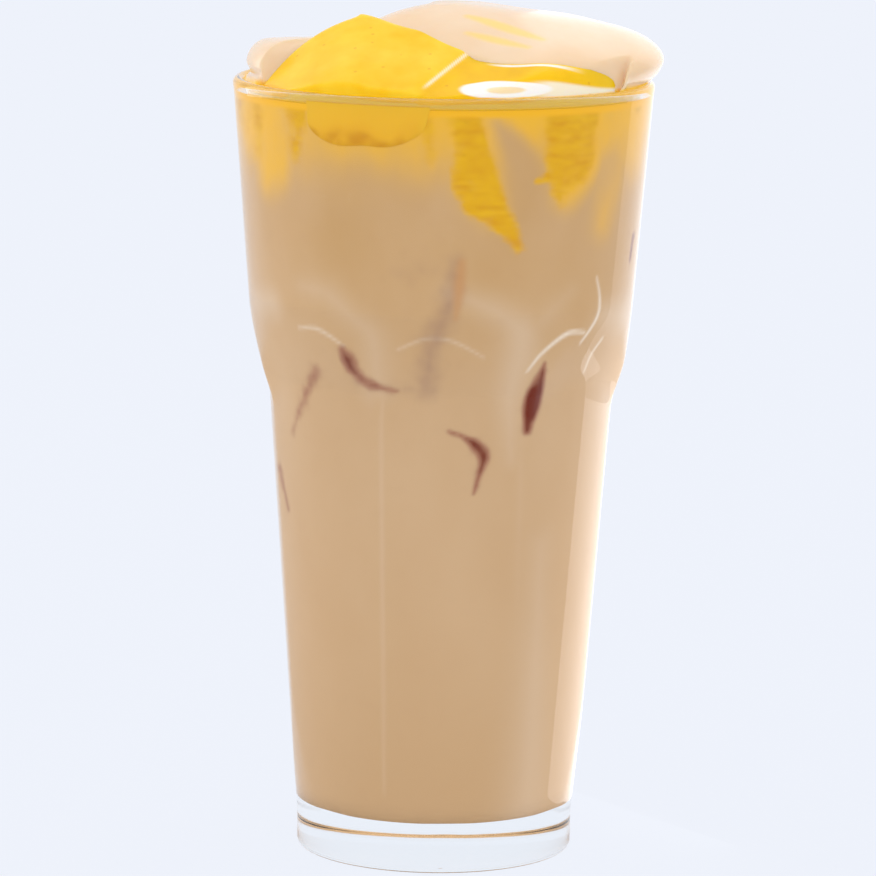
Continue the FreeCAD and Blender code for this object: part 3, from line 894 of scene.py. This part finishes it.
def creamPoints():
    # each direction mixes the four profiles by the squares of its sine and cosine; then the lobe is
    # capped, the free surface swells a little, and the front dips under the pudding
    c = creamShape
    turn = np.linspace(0, 2 * pi, c["columns"], endpoint=False)
    share = {
        "right": np.maximum(np.cos(turn), 0) ** 2, "left": np.maximum(-np.cos(turn), 0) ** 2,
        "back": np.maximum(np.sin(turn), 0) ** 2, "front": np.maximum(-np.sin(turn), 0) ** 2,
    }
    mixed = sum(flowing(c[key], c["rows"])[:, None, :] * share[key][None, :, None] for key in share)
    radius, height = mixed[..., 0], mixed[..., 1]
    x, y = radius * np.cos(turn), radius * np.sin(turn)
    cap = c["lobeHeight"] - c["lobeSlope"] * np.maximum(y, c["lobeFront"])
    cap = cap + c["lobeRise"] * ease(x, *c["lobeEnd"]) + c["domeRise"] * ease(x, *c["domeStart"])
    capped = smoothMin(height, np.maximum(cap, c["lobeLeast"]), c["lobeSoft"])
    height = np.where(height > c["lobeFrom"], capped, height)
    free = ease(height, *c["unevenStart"])
    radius = radius + c["unevenOut"] * free * swell(21, x, y, height, 26)
    height = height + c["unevenUp"] * free * swell(22, x, y, height, 20)
    x, y = radius * np.cos(turn), radius * np.sin(turn)
    under = ease(puddingBack(x) - y, *c["dipStart"]) * fade(x, *c["dipEnd"])
    height = height + under * np.minimum(puddingTop(x, y) - c["dip"] - height, 0)
    wall = innerRadius(lipHeight + height) + c["intoWall"]
    radius = np.where(height < c["mouthTop"], np.minimum(radius, wall), radius)
    return np.stack([radius * np.cos(turn), radius * np.sin(turn), height + lipHeight], -1)


def slitField(x, y):
    # 1 on the line of a slit, falling to 0 at its edge; each slit is widest at its middle
    total = np.zeros_like(x)
    for (ax, ay), (bx, by), half in creamSlits:
        share = ((x - ax) * (bx - ax) + (y - ay) * (by - ay)) / ((bx - ax) ** 2 + (by - ay) ** 2)
        near = np.clip(share, 0, 1)
        gap = np.hypot(x - ax - near * (bx - ax), y - ay - near * (by - ay))
        total = np.maximum(total, ease(half * (0.6 + np.sin(pi * near)) - gap, -0.9, 0.7))
    return total


def makeCreamMaterial():
    # pale cream with soft clouds, yellow where it meets the sauce under the lip and in the slits
    look = creamLook
    material, tree, shader = startMaterial(
        "paleCream", Roughness=0.25, IOR=1.37, Subsurface_Weight=0.35, Subsurface_Scale=0.004,
        Subsurface_Radius=look["scatter"], Coat_Weight=0.4, Coat_Roughness=0.08,
    )
    color = mixColor(tree, clouds(tree, look["cloudSize"]), *look["shades"])
    color = mixColor(tree, spread(tree, heightOf(tree), *look["underLipHeight"]), color, look["underLip"])
    color = mixColor(tree, calc(tree, "MULTIPLY", field(tree, "slit"), look["slitShare"]), color, look["slit"])
    tree.links.new(color, shader.inputs["Base Color"])
    roughen(tree, shader, clouds(tree, look["rippleSize"]), look["rippleStrength"], look["rippleDepth"])
    return material


points = creamPoints()
slits = {"slit": slitField(points[..., 0], points[..., 1])}
creamPiece = makeSurface("paleCream", points, makeCreamMaterial(), slits)
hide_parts("cream")

# Floor, light and camera.
studio = {
    "pale": paint(238, 242, 251),
    "floorRings": [10.0, 200.0, 4000.0], "floorSides": 64, "floorDrop": 0.05,
    "floorShare": 0.035,       # how much of the floor's look comes from the lamps
    "daylight": 1.0, "daylightColor": (1.0, 1.0, 1.0, 1.0),
}


def seenDirectly(tree):
    # 1 for rays from the camera, from mirrors and through glass
    path = tree.nodes.new("ShaderNodeLightPath")
    either = calc(tree, "MAXIMUM", path.outputs["Is Camera Ray"], path.outputs["Is Glossy Ray"])
    return calc(tree, "MAXIMUM", either, path.outputs["Is Transmission Ray"])


def makeFloor():
    # a flat disc: rings of points round the middle, just under the foot
    sides, rings = studio["floorSides"], len(studio["floorRings"])
    turn = np.linspace(0, 2 * pi, sides, endpoint=False)
    radius = np.array(studio["floorRings"])[:, None]
    level = np.full((rings, sides), -studio["floorDrop"])
    verts = np.stack([radius * np.cos(turn), radius * np.sin(turn), level], -1)[::-1]
    index, after, quads = gridFaces(rings, sides)
    mesh = bpy.data.meshes.new("studioFloor")
    mesh.from_pydata((verts.reshape(-1, 3) * mm).tolist(), [], quads.tolist() + [index[-1].tolist()])
    material, tree, shader = startMaterial(
        "paleFloor", Base_Color=studio["pale"], Roughness=1.0, Specular_IOR_Level=0.0
    )
    flat = addNode(tree, "ShaderNodeEmission", {"Color": studio["pale"], "Strength": 1.0})
    lit = mixShader(tree, studio["floorShare"], flat, shader)
    mix = mixShader(tree, seenDirectly(tree), shader, lit)
    tree.links.new(mix.outputs[0], tree.nodes["Material Output"].inputs["Surface"])
    mesh.materials.append(material)
    floor = bpy.data.objects.new("studioFloor", mesh)
    bpy.context.scene.collection.objects.link(floor)


def makeWorld():
    # even daylight, and the floor's pale colour wherever the world is seen directly
    world = bpy.data.worlds.new("paleStudio")
    world.use_nodes = True
    tree = world.node_tree
    ambient = tree.nodes["Background"]
    ambient.inputs["Color"].default_value = studio["daylightColor"]
    ambient.inputs["Strength"].default_value = studio["daylight"]
    backdrop = addNode(tree, "ShaderNodeBackground", {"Color": studio["pale"], "Strength": 1.0})
    mix = mixShader(tree, seenDirectly(tree), ambient, backdrop)
    tree.links.new(mix.outputs[0], tree.nodes["World Output"].inputs["Surface"])
    bpy.context.scene.world = world


# The lamps. Side is in degrees, lengths are in metres, and a lamp is aimed at aimHeight on the axis
# and then turned by twist. The two cards stand close to the glass and light its right wall.
softboxes = {
    "rightCard": {
        "side": 125.7, "height": 0.043, "distance": 0.0506, "aimHeight": 0.043, "twist": -1.0,
        "width": 0.0742, "tall": 0.086, "radiance": 1.15,
    },
    "rightHighCard": {
        "side": 125.7, "height": 0.213, "distance": 0.0506, "aimHeight": 0.213, "twist": -1.0,
        "width": 0.0742, "tall": 0.254, "radiance": 0.5,
    },
    "leftSoftbox": {
        "side": -120.0, "height": 0.30, "distance": 0.90, "aimHeight": 0.1, "twist": 0.0,
        "width": 0.50, "tall": 0.90, "radiance": 1.2,
    },
    "topSoftbox": {
        "side": -20.0, "height": 0.95, "distance": 0.25, "aimHeight": 0.1, "twist": 0.0,
        "width": 0.55, "tall": 0.40, "radiance": 1.25,
    },
}


def makeSoftbox(name, side, height, distance, aimHeight, twist, width, tall, radiance):
    # a rectangular lamp aimed at the axis; a face of radiance 1 gives pi watts per square metre
    lamp = bpy.data.lights.new(name, "AREA")
    lamp.shape = "RECTANGLE"
    lamp.size, lamp.size_y = width, tall
    lamp.energy = radiance * pi * width * tall
    box = bpy.data.objects.new(name, lamp)
    turn = radians(side - 90)
    box.location = (distance * cos(turn), distance * sin(turn), height)
    aim = Vector((0, 0, aimHeight)) - box.location
    turned = Matrix.Rotation(radians(twist), 3, "Z") @ aim.to_track_quat("-Z", "Y").to_matrix()
    box.rotation_euler = turned.to_euler()
    box.visible_camera = False
    box.visible_transmission = False
    bpy.context.scene.collection.objects.link(box)


view = {
    "distance": 1.082, "elevation": 9.51, "lookHeight": 0.0833, "roll": 0.8,
    "lens": 220.9, "sensor": 36.0, "shiftX": -0.001, "clipEnd": 20.0,
}


def makeCamera():
    # in front of the glass and a little above it, tilted down by elevation and rolled a little
    camera = bpy.data.cameras.new("camera")
    camera.lens, camera.sensor_width = view["lens"], view["sensor"]
    camera.shift_x = view["shiftX"]
    camera.clip_end = view["clipEnd"]
    tilt = radians(view["elevation"])
    away = Vector((0, -cos(tilt), sin(tilt)))
    turned = away.to_track_quat("Z", "Y").to_matrix().to_4x4() @ Matrix.Rotation(radians(view["roll"]), 4, "Z")
    eye = bpy.data.objects.new("camera", camera)
    place = away * view["distance"] + Vector((0, 0, view["lookHeight"]))
    eye.matrix_world = Matrix.Translation(place) @ turned
    bpy.context.scene.collection.objects.link(eye)
    bpy.context.scene.camera = eye


makeFloor()
makeWorld()
for name, values in softboxes.items():
    makeSoftbox(name, **values)
makeCamera()
bpy.context.scene.view_settings.view_transform = "Standard"
print("stage ready")
